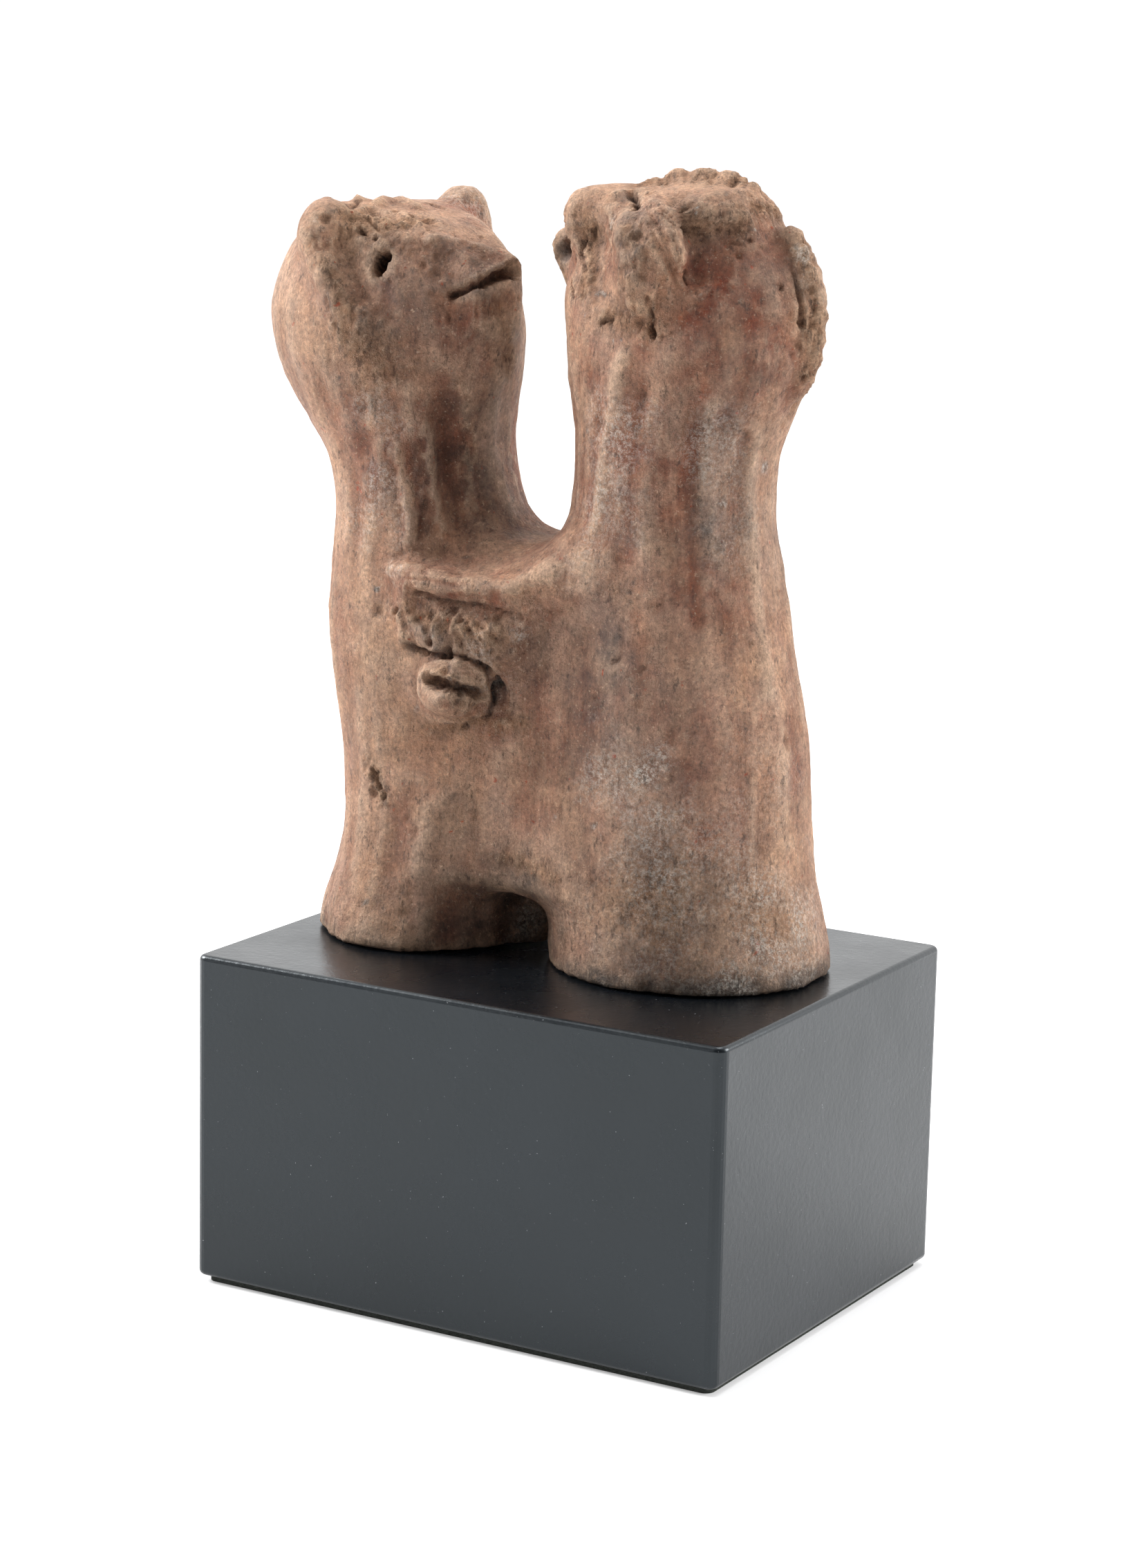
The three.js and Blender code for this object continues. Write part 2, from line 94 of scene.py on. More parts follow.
# clay: the solid's own form, made even and then worked over like the real surface
clay = {
    "weld": 0.005,  # mm, points of the solid closer than this are one
    "voxel": 0.84,  # mm between surface points; half of that in the worked places
    "evenRounds": 20,  # smoothing that takes the facets off
    "footEdge": 1.2,  # mm above the block that stay sharp
    "crest": {"side": 12, "middle": 1, "halfWidth": 3, "height": 82, "keep": 0.6},  # mm; the knobs keep their form
    "handLumps": 0.30,  # mm, long soft unevenness from the hands
    "handLumpSize": 13,  # mm
    "grainLumps": 0.09,  # mm, short unevenness of the coarse clay
    "grainLumpSize": 2.4,  # mm
    "burnishDepth": 0.17,  # mm, flats left by the smoothing tool
    "burnishWidth": 4.4,  # mm
    "pitCount": 500,
    "pitRadius": (0.55, 1.15),  # mm
    "pitDepth": (0.2, 0.5),  # shares of the radius
    "footChips": 60,
    "chipRadius": (1.0, 3.0),  # mm
    "chipDepth": 0.22,  # share of the radius
    "chipHeight": 2.2,  # mm above the block
    "outside": 0.3,  # mm that the clay may stand outside the solid's box
}

# Worked places that get the closer points: marks and radius in mm
worked = [
    {"line": [(470, 320), (560, 330), (640, 330)], "radius": 9},
    {"line": [(480, 380), (520, 440)], "radius": 5},
    {"line": [(552, 381)], "radius": 5},
    {"line": [(655, 425), (742, 394)], "radius": 5},
    {"line": [(830, 330), (930, 320), (1000, 320), (1100, 310)], "radius": 8},
    {"line": [(860, 400), (930, 440), (985, 400)], "radius": 7},
    {"line": [(1160, 360), (1175, 440), (1170, 560)], "radius": 5},
    {"line": [(580, 850), (640, 880), (740, 880)], "radius": 7},
    {"line": [(640, 940), (670, 1010), (720, 1010)], "radius": 7},
    {"line": [(535, 1115), (550, 1150)], "radius": 3},
    {"line": [(950, 250), (1090, 255)], "radius": 5},
]


def linkMesh(name, mesh):
    piece = bpy.data.objects.new(name, mesh)
    scene.collection.objects.link(piece)
    return piece


def mergedCopy(node, name):
    work = bmesh.new()
    work.from_mesh(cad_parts[node].data)
    bmesh.ops.remove_doubles(work, verts=work.verts, dist=clay["weld"] * mm)
    mesh = bpy.data.meshes.new(name)
    work.to_mesh(mesh)
    work.free()
    return linkMesh(name, mesh)


def remeshed(piece, voxel):
    step = piece.modifiers.new("even points", "REMESH")
    step.mode = "VOXEL"
    step.voxel_size = voxel * mm
    graph = bpy.context.evaluated_depsgraph_get()
    mesh = bpy.data.meshes.new_from_object(piece.evaluated_get(graph))
    name, rawMesh = piece.name, piece.data
    bpy.data.objects.remove(piece)
    bpy.data.meshes.remove(rawMesh)
    mesh.name = name
    return linkMesh(name, mesh)


def softStep(values):
    values = np.clip(values, 0, 1)
    return values * values * (3 - 2 * values)


# Smooth random field from about -1 to 1, with lumps of a given size in mm
def cloud(points, size, seed, octaves=1):
    total, weightSum = np.zeros(len(points)), 0
    for octave in range(octaves):
        lattice = np.random.default_rng(seed + octave).uniform(-1, 1, (32, 32, 32))
        q = points / (size / 2**octave) + 100
        cell = np.floor(q).astype(int)
        t = softStep(q - cell)
        value = np.zeros(len(points))
        for corner in np.ndindex(2, 2, 2):
            weight = np.prod(np.where(corner, t, 1 - t), axis=1)
            value += weight * lattice[tuple(((cell + corner) % 32).T)]
        total += value * 0.5**octave
        weightSum += 0.5**octave
    return total * 1.7 / weightSum


# The same field folded into sharp ridges
def ridges(points, size, seed, octaves=2):
    return 1 - 2.4 * np.abs(cloud(points, size, seed, octaves))


class Skin:
    # Points and normals of the clay in mm, with what a sculptor does to them
    def __init__(self, piece):
        self.mesh = piece.data
        self.read()

    def read(self):
        count = len(self.mesh.vertices)
        self.points = np.empty(count * 3)
        self.mesh.vertices.foreach_get("co", self.points)
        self.points = self.points.reshape(-1, 3) / mm
        edges = np.empty(len(self.mesh.edges) * 2, int)
        self.mesh.edges.foreach_get("vertices", edges)
        self.edges = edges.reshape(-1, 2)
        self.degree = np.bincount(edges, minlength=count)[:, None]
        self.settle()

    # Writes the points to the mesh and reads the normals, and the tree for finding places
    def settle(self):
        self.mesh.vertices.foreach_set("co", (self.points * mm).ravel())
        self.mesh.update()
        self.normals = np.empty(len(self.points) * 3)
        self.mesh.vertex_normals.foreach_get("vector", self.normals)
        self.normals = self.normals.reshape(-1, 3)
        self.facing = self.normals  # the general direction of the skin, without its small relief
        for _ in range(12):
            self.facing = self.averaged(self.facing)
        self.facing = self.facing / np.linalg.norm(self.facing, axis=1, keepdims=True)
        faces = [tuple(face.vertices) for face in self.mesh.polygons]
        self.surface = BVHTree.FromPolygons([Vector(p) for p in self.points], faces)

    def averaged(self, values):
        a, b = self.edges.T
        total = np.empty_like(values)
        for column in range(values.shape[1]):
            row = values[:, column]
            total[:, column] = np.bincount(a, row[b], len(row)) + np.bincount(b, row[a], len(row))
        return total / self.degree

    # Smoothing that keeps the volume: each round pulls in and pushes back out
    def smooth(self, values, rounds, keep=0):
        for _ in range(rounds):
            for share in (0.55, -0.56):
                values = values + (self.averaged(values) - values) * share * (1 - keep)
        return values

    # Splits the faces of the worked places in four
    def refine(self, mask):
        work = bmesh.new()
        work.from_mesh(self.mesh)
        edges = [edge for edge in work.edges if all(mask[vert.index] > 0 for vert in edge.verts)]
        bmesh.ops.subdivide_edges(work, edges=edges, cuts=1, use_grid_fill=True)
        work.to_mesh(self.mesh)
        work.free()
        self.read()

    # The point of the surface under a pixel of the photograph, or the nearest one to a place in mm
    def spot(self, mark):
        if len(mark) == 3:
            return np.array(self.surface.find_nearest(Vector(mark))[0])
        right, up, back = viewAxes()
        across = (mark[0] - view["width"] / 2) / view["focalPixels"]
        down = (mark[1] - view["height"] / 2) / view["focalPixels"]
        eye, ray = Vector(view["place"]), (right * across - up * down - back).normalized()
        hit = self.surface.ray_cast(eye, ray)[0]
        if hit is None:  # just outside the outline
            offset = self.points - np.array(eye)
            beside = np.linalg.norm(offset - (offset @ np.array(ray))[:, None] * np.array(ray), axis=1)
            hit = self.points[beside.argmin()]
        return np.array(hit)

    # Distance in mm from each point to a line through marks, and how far along the line it is, 0 to 1
    def alongLine(self, marks):
        places = [self.spot(mark) for mark in marks]
        nearest, reached = np.full(len(self.points), 1e9), np.zeros(len(self.points))
        ends = places[1:] or places
        for number, (start, end) in enumerate(zip(places, ends)):
            along = end - start
            t = np.clip((self.points - start) @ along / max(along @ along, 1e-9), 0, 1)
            gap = np.linalg.norm(self.points - start - t[:, None] * along, axis=1)
            reached = np.where(gap < nearest, (number + t) / len(ends), reached)
            nearest = np.minimum(nearest, gap)
        return nearest, reached

    # 1 on the line, falling softly to 0 at the radius, with an uneven edge
    def near(self, marks, radius, uneven=0.25):
        edge = radius * (1 + uneven * cloud(self.points, max(radius * 0.5, 1.2), 41, 2))
        return softStep(1 - self.alongLine(marks)[0] / edge)

    # A cut with steep walls: width and depth in mm change from its first mark to its last
    def cut(self, marks, widths, depths, ragged=0.3):
        gap, reached = self.alongLine(marks)
        half = np.interp(reached, (0, 1), widths) / 2 * (1 + ragged * cloud(self.points, 1.0, 77, 2))
        wall = softStep((half + 0.35 - gap) / 0.5)
        self.points = self.points - self.facing * (wall * np.interp(reached, (0, 1), depths))[:, None]

    def push(self, amount):
        self.points = self.points + self.normals * amount[:, None]

    # Where each point is seen in the photograph, in pixels
    def seen(self):
        right, up, back = (np.array(axis) for axis in viewAxes())
        offset = self.points - np.array(view["place"])
        depth = -(offset @ back)
        across = offset @ right / depth * view["focalPixels"] + view["width"] / 2
        down = view["height"] / 2 - offset @ up / depth * view["focalPixels"]
        return across, down


figure = remeshed(mergedCopy("double_figure", "figure_clay"), clay["voxel"])
skin = Skin(figure)
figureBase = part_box("double_figure")[0].z / mm
x, y, z = skin.points.T
crest = clay["crest"]
onFoot = softStep((figureBase + clay["footEdge"] - z) / 0.8)
onCrest = (x > crest["side"]) & (np.abs(y - crest["middle"]) < crest["halfWidth"])
onCrest = onCrest & (z > figureBase + crest["height"])
skin.points = skin.smooth(skin.points, clay["evenRounds"], np.maximum(onFoot, crest["keep"] * onCrest)[:, None])
skin.settle()
mask = np.zeros(len(skin.points))
for place in worked:
    mask = np.maximum(mask, skin.near(place["line"], place["radius"], 0))
skin.refine(mask)
skin.points = skin.smooth(skin.points, 2)
skin.settle()
print("clay points", len(skin.points), "facets smoothed")


# forms that the hands pressed up or in: a line of marks, its radius and its height in mm
forms = [
    {"line": [(458, 340), (474, 395), (500, 445), (525, 472)], "radius": 3.6, "height": 1.0},  # rim of the near ear
    {"line": [(440, 385), (458, 440), (480, 490)], "radius": 3.0, "height": -0.45},  # behind the rim
    {"line": [(500, 362), (510, 390), (530, 430)], "radius": 2.8, "height": -0.6},  # hollow of the ear
    {"line": [(555, 405), (562, 440)], "radius": 3.0, "height": -0.4},  # below the eye
    {"line": [(519, 291)], "radius": 1.7, "height": 1.1},
    {"line": [(545, 296), (556, 290)], "radius": 1.5, "height": 0.9},
    {"line": [(578, 291), (604, 300)], "radius": 1.8, "height": 0.9},
    {"line": [(540, 305), (575, 315)], "radius": 1.8, "height": -0.8},
    {"line": [(515, 352), (560, 350), (620, 345)], "radius": 2.4, "height": 0.5},  # brow over the eye
    {"line": [(630, 347), (700, 362), (740, 377)], "radius": 2.2, "height": 0.7},  # edge of the muzzle
    {"line": [(645, 380), (695, 390)], "radius": 3.0, "height": -0.7},
    {"line": [(690, 398), (740, 382)], "radius": 1.6, "height": 0.4},  # upper lip
    {"line": [(690, 432), (738, 415)], "radius": 2.2, "height": 0.35},  # lower lip
    {"line": [(650, 430), (640, 460)], "radius": 2.0, "height": -0.25},
    {"line": [(905, 276), (925, 306)], "radius": 2.4, "height": -0.6},  # notch in the top of the broken ear
    {"line": [(880, 295), (900, 275), (930, 275)], "radius": 1.8, "height": 0.5},
    {"line": [(900, 315), (912, 370), (925, 430)], "radius": 4.6, "height": 1.1},
    {"line": [(862, 335), (866, 430)], "radius": 2.2, "height": -0.6},
    {"line": [(1003, 325), (1004, 400)], "radius": 2.6, "height": -0.8},
    {"line": [(887, 308)], "radius": 1.8, "height": 0.5},
    {"line": [(889, 300), (888, 345)], "radius": 1.7, "height": 0.5},
    {"line": [(935, 290), (975, 325), (985, 375)], "radius": 2.6, "height": 0.7},  # ragged rim of the ear
    {"line": [(905, 430), (935, 450)], "radius": 2.4, "height": 0.4},
    {"line": [(1000, 338), (1060, 340)], "radius": 3.6, "height": -0.7},  # hollow under the cap
    {"line": [(945, 282), (1010, 292), (1080, 280)], "radius": 2.4, "height": 0.45},  # lip of the cap
    {"line": [(1098, 300), (1125, 320)], "radius": 2.4, "height": -0.4},
    {"line": [(1141, 340), (1150, 385), (1158, 440), (1165, 500)], "radius": 2.8, "height": 0.7},  # by the crest
    {"line": [(820, 350), (820, 366)], "radius": 1.3, "height": -1.5},  # behind the stump of the muzzle
    {"line": [(570, 826), (650, 840), (740, 850), (800, 826)], "radius": 2.4, "height": 1.0},  # edge of the arm
    {"line": [(600, 866), (660, 878), (740, 890)], "radius": 2.6, "height": -0.8},  # under the arm
    {"line": [(590, 885), (604, 912), (630, 925)], "radius": 3.2, "height": 0.9},  # scar of the lost part
    {"line": [(640, 900), (700, 915)], "radius": 3.2, "height": 0.4},
    {"line": [(755, 905), (745, 945)], "radius": 1.4, "height": 0.3},
    {"line": [(617, 620), (626, 690), (640, 765)], "radius": 1.9, "height": 1.0},  # folds at the throat
    {"line": [(598, 640), (612, 770)], "radius": 1.4, "height": -0.5},
    {"line": [(575, 650), (598, 770)], "radius": 1.7, "height": 0.7},
    {"line": [(650, 590), (660, 680), (672, 760)], "radius": 3.6, "height": -0.9},
    {"line": [(712, 1050), (732, 1046)], "radius": 1.8, "height": 0.5},
    {"line": [(716, 985), (722, 1012)], "radius": 1.9, "height": -1.0},  # beside the button
    {"line": [(622, 1034), (655, 1044), (688, 1038)], "radius": 1.7, "height": 0.5},
    {"line": [(574, 888), (584, 918)], "radius": 2.6, "height": 0.9},
    {"line": [(660, 960), (700, 975), (706, 1010), (690, 1038)], "radius": 1.3, "height": 0.35},  # rim of the button
    {"line": [(640, 1090), (690, 1110), (700, 1180)], "radius": 9, "height": -0.4},
    {"line": [(766, 1306), (778, 1345), (776, 1368)], "radius": 5.0, "height": 2.8},  # inner side of the left foot
]
for form in forms:
    skin.push(skin.near(form["line"], form["radius"]) * form["height"])
skin.settle()
print("forms pressed")


# rough places where the skin is lost: a line of marks, radius, depth and grain in mm
roughPlaces = [
    {"line": [(520, 315), (560, 325), (610, 318)], "radius": 6, "depth": 0.34, "grain": 2.2},  # crown of the head
    {"line": [(500, 480), (560, 540)], "radius": 9, "depth": 0.16, "grain": 1.3},  # cheek and neck
    {"line": [(470, 380), (500, 450)], "radius": 4, "depth": 0.12, "grain": 1.1},
    {"line": [(720, 450), (740, 540)], "radius": 5, "depth": 0.16, "grain": 1.5},
    {"line": [(905, 330), (920, 450)], "radius": 5, "depth": 0.34, "grain": 2.2},  # broken ear
    {"line": [(850, 330), (845, 420)], "radius": 4, "depth": 0.32, "grain": 2.0},
    {"line": [(880, 455), (945, 480)], "radius": 4, "depth": 0.22, "grain": 2.4},
    {"line": [(1000, 330), (1070, 320)], "radius": 5, "depth": 0.2, "grain": 1.2},  # hollow under the cap
    {"line": [(1090, 300), (1125, 310)], "radius": 3, "depth": 0.5, "grain": 1.4},
    {"line": [(1160, 350), (1178, 430), (1180, 520), (1150, 590)], "radius": 4, "depth": 0.3, "grain": 1.4},  # crest
    {"line": [(930, 262), (1090, 255)], "radius": 6, "depth": 0.16, "grain": 1.5},
    {"line": [(805, 345), (812, 395)], "radius": 3, "depth": 0.35, "grain": 1.3},
    {"line": [(590, 885), (640, 905), (710, 925)], "radius": 5, "depth": 0.45, "grain": 1.9},  # scar
    {"line": [(640, 975), (680, 1015)], "radius": 4, "depth": 0.16, "grain": 1.1},  # button
    {"line": [(620, 1050), (760, 1045)], "radius": 3, "depth": 0.2, "grain": 1.5},
    {"line": [(535, 1110), (552, 1152)], "radius": 2.2, "depth": 0.5, "grain": 1.2},  # gouge
    {"line": [(730, 1240), (800, 1270)], "radius": 4, "depth": 0.2, "grain": 1.8},  # roof of the arch
    {"line": [(900, 1300), (1120, 1330)], "radius": 14, "depth": 0.1, "grain": 1.7},  # foot
    {"line": [(-40, 16, 125), (-30, 14, 136)], "radius": 8, "depth": 0.22, "grain": 2.0},  # behind
    {"line": [(20, 16, 150), (30, 12, 140)], "radius": 9, "depth": 0.3, "grain": 2.2},
    {"line": [(-10, 15, 100)], "radius": 9, "depth": 0.25, "grain": 2.0},
]

# clay drawn out in strands around a pixel: marks, radius, depth in mm and the strands' width in mm
combed = [
    {"line": [(940, 300), (975, 350), (970, 400)], "radius": 5, "from": (915, 270), "depth": 0.3, "strand": 0.9},
    {"line": [(1000, 320), (1050, 330)], "radius": 5, "from": (930, 330), "depth": 0.28, "strand": 0.9},
    {"line": [(940, 265), (1010, 262), (1090, 262)], "radius": 5, "from": (930, 420), "depth": 0.25, "strand": 1.3},
    {"line": [(530, 320), (600, 330)], "radius": 5, "from": (460, 250), "depth": 0.3, "strand": 1.2},
    {"line": [(680, 930), (740, 900)], "radius": 4, "from": (640, 850), "depth": 0.25, "strand": 0.9},
    {"line": [(500, 490), (540, 570)], "radius": 9, "from": (520, -2000), "depth": 0.16, "strand": 1.0},
    {"line": [(630, 650), (700, 700)], "radius": 8, "from": (640, -2000), "depth": 0.14, "strand": 1.4},
    {"line": [(850, 560), (900, 700), (1080, 600)], "radius": 14, "from": (980, -2500), "depth": 0.09, "strand": 1.3},
    {"line": [(600, 840), (700, 856), (790, 840)], "radius": 3, "from": (-1500, 560), "depth": 0.15, "strand": 0.9},
]

# cuts and cracks: a line of marks, the widths and the depths in mm at its two ends, and how ragged it is
cuts = [
    ([(557, 371), (547, 391)], (1.5, 1.4), (4.0, 4.0), 0.1),  # eye
    ([(654, 427), (700, 409), (750, 388)], (0.9, 2.0), (1.3, 2.8), 0.3),  # mouth
    ([(618, 982), (655, 992), (697, 1004)], (1.8, 1.6), (2.2, 2.2), 0.2),  # slot
    ([(690, 958), (706, 970), (722, 992)], (0.5, 0.8), (1.6, 1.6), 0.5),
    ([(716, 990), (716, 1015), (705, 1038), (690, 1044)], (0.6, 0.3), (1.6, 0.7), 0.5),
    ([(690, 958), (660, 946), (630, 950), (610, 962)], (0.4, 0.2), (1.2, 0.5), 0.6),
    ([(935, 430), (943, 455), (940, 474), (945, 487)], (0.3, 0.5), (0.8, 1.4), 0.5),
    ([(992, 392), (991, 402), (994, 412)], (0.4, 0.2), (1.0, 0.6), 0.5),
    ([(911, 276), (922, 302)], (0.5, 1.1), (1.2, 1.8), 0.7),
    ([(846, 350), (840, 370), (846, 392)], (0.3, 0.3), (1.0, 0.7), 0.6),
    ([(826, 408), (829, 430)], (0.4, 0.3), (1.2, 0.8), 0.5),
    ([(858, 332), (862, 350)], (0.3, 0.2), (0.8, 0.4), 0.6),
    ([(1147, 395), (1156, 425), (1160, 468)], (0.2, 0.6), (0.3, 0.9), 0.9),
    ([(1163, 546), (1178, 538), (1190, 527)], (0.3, 0.4), (0.6, 0.8), 0.5),
    ([(870, 467), (884, 461)], (0.5, 0.4), (0.8, 0.6), 0.4),
    ([(640, 442), (648, 452), (651, 466)], (0.2, 0.2), (0.3, 0.3), 0.5),
    ([(523, 330), (532, 343)], (0.4, 0.4), (0.9, 0.6), 0.6),
    ([(512, 300), (519, 290)], (0.4, 0.3), (1.0, 0.6), 0.6),
    ([(622, 295), (642, 302)], (0.5, 0.4), (0.8, 0.6), 0.5),
    ([(600, 856), (640, 868), (690, 874), (740, 886)], (0.5, 0.3), (0.9, 0.5), 0.9),
    ([(790, 884), (838, 897)], (0.3, 0.2), (0.25, 0.2), 0.5),
    ([(580, 930), (604, 940), (625, 947), (650, 948)], (0.5, 0.8), (1.0, 1.5), 0.7),
    ([(570, 880), (573, 910)], (0.3, 0.3), (0.7, 0.5), 0.6),
    ([(536, 1112), (548, 1130), (556, 1153)], (0.5, 0.4), (0.9, 0.7), 0.8),
    ([(470, 430), (478, 462)], (0.2, 0.3), (0.3, 0.4), 0.6),
]

# single holes: pixel u and v, radius and depth in mm
holes = [
    (526, 337, 0.4, 0.8), (543, 344, 0.4, 0.6), (595, 311, 0.5, 0.7), (572, 305, 0.4, 0.5), (566, 458, 0.5, 0.5),
    (883, 463, 0.4, 0.7), (1128, 414, 0.4, 0.9), (1085, 348, 0.4, 0.4), (1040, 330, 0.5, 0.4), (988, 332, 0.4, 0.8),
    (571, 883, 0.5, 0.9), (620, 930, 0.5, 0.9), (645, 943, 0.6, 1.0), (677, 910, 0.4, 0.7), (888, 953, 0.4, 0.6),
    (1093, 653, 0.3, 0.5), (672, 1050, 0.4, 0.5), (742, 385, 0.4, 0.6), (826, 352, 0.5, 0.9), (1110, 302, 0.4, 0.6),
]

tear = np.array([[1, 0.3, 0.5], [-0.2, 1, 0.3], [-0.4, 0.1, 0.6]])  # crumbs are longer one way, like torn clay
rough = np.zeros(len(skin.points))
for number, place in enumerate(roughPlaces):
    patch = skin.near(place["line"], place["radius"], 0.5)
    slanted = skin.points @ tear
    crumbs = 0.8 * ridges(slanted, place["grain"], 100 + 9 * number, 3) + 0.3 * cloud(skin.points, 0.9, 5) - 0.2
    skin.push(patch * place["depth"] * crumbs)
    rough = np.maximum(rough, patch)
across, down = skin.seen()
for number, place in enumerate(combed):
    patch = skin.near(place["line"], place["radius"], 0.4)
    u, v = across - place["from"][0], down - place["from"][1]
    reach = np.hypot(u, v) / (view["focalPixels"] / view["distance"])  # mm
    turn = np.arctan2(v, u) * np.median(reach[patch > 0.5])
    strands = np.stack([turn / place["strand"], reach / 7, 0.3 * turn], axis=1)
    skin.push(patch * place["depth"] * ridges(strands, 1, 300 + number))
print("rough places broken")

# flats left by the smoothing tool: lines of marks, radius and height in mm; high ones get a painted highlight, low
# ones are darker red
flats = [
    {"line": [(898, 520), (880, 640), (862, 760)], "radius": 2.4, "height": 0.5},
    {"line": [(930, 560), (925, 680), (905, 800)], "radius": 2.4, "height": -0.3},
    {"line": [(1030, 590), (1020, 680), (1030, 800)], "radius": 2.4, "height": 0.3},
    {"line": [(975, 600), (970, 720)], "radius": 2.2, "height": 0.15},
    {"line": [(1000, 620), (1000, 760), (1010, 900)], "radius": 2.0, "height": -0.25},
    {"line": [(1075, 640), (1070, 760)], "radius": 2.2, "height": -0.2},
    {"line": [(1095, 620), (1085, 760), (1110, 1000)], "radius": 2.2, "height": 0.3},
    {"line": [(840, 820), (870, 900), (880, 1000)], "radius": 4, "height": 0.2},
    {"line": [(640, 560), (650, 640), (640, 740)], "radius": 4.0, "height": -0.55},  # throat
    {"line": [(590, 560), (600, 660), (590, 780)], "radius": 2.2, "height": 0.4},
    {"line": [(550, 650), (545, 760)], "radius": 2.2, "height": 0.25},
    {"line": [(520, 640), (515, 780)], "radius": 2.2, "height": -0.25},
    {"line": [(620, 650), (628, 760)], "radius": 1.6, "height": 0.35},
    {"line": [(720, 560), (712, 660), (740, 740)], "radius": 3, "height": 0.3},
    {"line": [(590, 1150), (570, 1240), (560, 1340)], "radius": 3, "height": -0.3},
    {"line": [(620, 1170), (610, 1260), (620, 1350)], "radius": 3, "height": 0.3},
    {"line": [(520, 1150), (515, 1250)], "radius": 2.6, "height": 0.2},
    {"line": [(560, 560), (530, 620)], "radius": 2.6, "height": 0.2},
]
upright = softStep(1.4 - 2 * np.abs(skin.normals[:, 2])) * (1 - 0.8 * rough)
angle = np.arctan2(skin.normals[:, 1], skin.normals[:, 0])
turn = np.stack([angle * 14, skin.points[:, 2] * 0.11, skin.points[:, 0] * 0.08], axis=1)
stroke = ridges(turn, clay["burnishWidth"], 23) * upright * 0.7
skin.push(stroke * clay["burnishDepth"] + cloud(skin.points, clay["handLumpSize"], 11, 2) * clay["handLumps"])
for flat in flats:
    patch = skin.near(flat["line"], flat["radius"], 0.3)
    skin.push(patch * flat["height"])
    stroke = stroke + patch * np.sign(flat["height"]) * 0.8
skin.push(cloud(skin.points, clay["grainLumpSize"], 57, 2) * clay["grainLumps"])
skin.settle()
print("burnish laid")

for line, widths, depths, ragged in cuts:
    skin.cut(line, widths, depths, ragged)
for u, v, radius, depth in holes:
    skin.cut([(u, v)], (radius * 2, radius * 2), (depth, depth), 0.4)

# small pits all over, more of them where the clay is rough
tree = KDTree(len(skin.points))
for index, point in enumerate(skin.points):
    tree.insert(point, index)
tree.balance()
chance = 0.5 + 0.6 * rough
rng = np.random.default_rng(5)
sink = np.zeros(len(skin.points))
for centre in rng.choice(len(skin.points), clay["pitCount"], replace=False, p=chance / chance.sum()):
    smallest, largest = clay["pitRadius"]
    radius = smallest + (largest - smallest) * rng.random() ** 3  # most of them small
    depth = radius * rng.uniform(*clay["pitDepth"])
    for _, index, gap in tree.find_range(Vector(skin.points[centre]), radius):
        sink[index] = max(sink[index], depth * (1 - (gap / radius) ** 2))
skin.push(-sink)

# worn lower edge of the feet
lowest = np.flatnonzero(skin.points[:, 2] < figureBase + clay["chipHeight"])
for centre in rng.choice(lowest, clay["footChips"], replace=False):
    radius = rng.uniform(*clay["chipRadius"])
    for _, index, gap in tree.find_range(Vector(skin.points[centre]), radius):
        skin.points[index] -= skin.normals[index] * (1, 1, 0) * clay["chipDepth"] * radius * (1 - gap / radius)
low, high = (np.array(corner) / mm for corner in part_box("double_figure"))
spare = clay["outside"]
skin.points = np.clip(skin.points, low - (spare, spare, 0), high + spare)
skin.settle()
print("cracks, holes and pits cut")
